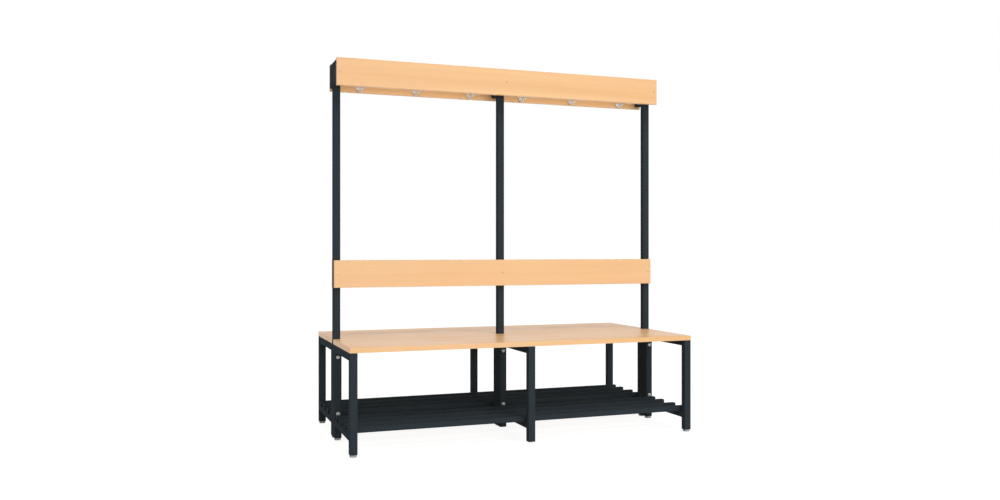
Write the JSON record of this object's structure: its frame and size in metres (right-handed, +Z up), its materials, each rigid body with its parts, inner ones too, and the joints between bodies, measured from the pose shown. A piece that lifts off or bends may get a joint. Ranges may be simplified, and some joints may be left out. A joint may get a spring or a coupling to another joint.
{
  "type": "changing room bench",
  "caption": "Double-sided changing room bench with steel tube supports, board seats and backrests, a shoe rack below, and coat hooks between two boards above the posts.",
  "frame": {"origin": "on the floor, under the middle of the bench", "axes": "+X along the bench to the right, front towards -Y, +Z up"},
  "size_m": [1.5, 0.77, 1.591],
  "materials": {
    "powder_coat": "satin powder coat, anthracite",
    "beech_laminate": "beech decor laminate with a matching edge band",
    "black_plastic": "moulded, matte",
    "grey_plastic": "moulded, matte, light grey",
    "zinc": "bright zinc plating"
  },
  "bodies": {
    "bench": {"backrest_front": "beech_laminate", "backrest_rear": "beech_laminate", "coat_hooks_front": "zinc", "coat_hooks_rear": "zinc", "foot_inserts": "black_plastic", "frame_bolts": "zinc", "frame_front_left": "powder_coat", "frame_front_middle": "powder_coat", "frame_front_right": "powder_coat", "frame_nuts": "zinc", "frame_rear_left": "powder_coat", "frame_rear_middle": "powder_coat", "frame_rear_right": "powder_coat", "head_arm_end_plates": "powder_coat", "head_arm_left": "powder_coat", "head_arm_middle": "powder_coat", "head_arm_right": "powder_coat", "hook_board_front": "beech_laminate", "hook_board_rear": "beech_laminate", "post_left": "powder_coat", "post_middle": "powder_coat", "post_right": "powder_coat", "rack_bar_end_caps": "black_plastic", "rack_bar_front_1": "powder_coat", "rack_bar_front_2": "powder_coat", "rack_bar_front_3": "powder_coat", "rack_bar_front_4": "powder_coat", "rack_bar_rear_1": "powder_coat", "rack_bar_rear_2": "powder_coat", "rack_bar_rear_3": "powder_coat", "rack_bar_rear_4": "powder_coat", "seat_front": "beech_laminate", "seat_rear": "beech_laminate", "tube_plugs": "black_plastic"},
    "foot_front_left_inner_body": {"foot_front_left_inner": "grey_plastic"},
    "foot_front_left_outer_body": {"foot_front_left_outer": "grey_plastic"},
    "foot_front_right_inner_body": {"foot_front_right_inner": "grey_plastic"},
    "foot_front_right_outer_body": {"foot_front_right_outer": "grey_plastic"},
    "foot_rear_left_inner_body": {"foot_rear_left_inner": "grey_plastic"},
    "foot_rear_left_outer_body": {"foot_rear_left_outer": "grey_plastic"},
    "foot_rear_right_inner_body": {"foot_rear_right_inner": "grey_plastic"},
    "foot_rear_right_outer_body": {"foot_rear_right_outer": "grey_plastic"}
  },
  "joints": [
    {"name": "foot_front_left_inner_screw", "type": "slide", "parent": "bench", "child": "foot_front_left_inner_body", "axis": [0, 0, -1], "range_m": [0, 0.015]},
    {"name": "foot_front_left_outer_screw", "type": "slide", "parent": "bench", "child": "foot_front_left_outer_body", "axis": [0, 0, -1], "range_m": [0, 0.015]},
    {"name": "foot_front_right_inner_screw", "type": "slide", "parent": "bench", "child": "foot_front_right_inner_body", "axis": [0, 0, -1], "range_m": [0, 0.015]},
    {"name": "foot_front_right_outer_screw", "type": "slide", "parent": "bench", "child": "foot_front_right_outer_body", "axis": [0, 0, -1], "range_m": [0, 0.015]},
    {"name": "foot_rear_left_inner_screw", "type": "slide", "parent": "bench", "child": "foot_rear_left_inner_body", "axis": [0, 0, -1], "range_m": [0, 0.015]},
    {"name": "foot_rear_left_outer_screw", "type": "slide", "parent": "bench", "child": "foot_rear_left_outer_body", "axis": [0, 0, -1], "range_m": [0, 0.015]},
    {"name": "foot_rear_right_inner_screw", "type": "slide", "parent": "bench", "child": "foot_rear_right_inner_body", "axis": [0, 0, -1], "range_m": [0, 0.015]},
    {"name": "foot_rear_right_outer_screw", "type": "slide", "parent": "bench", "child": "foot_rear_right_outer_body", "axis": [0, 0, -1], "range_m": [0, 0.015]}
  ]
}
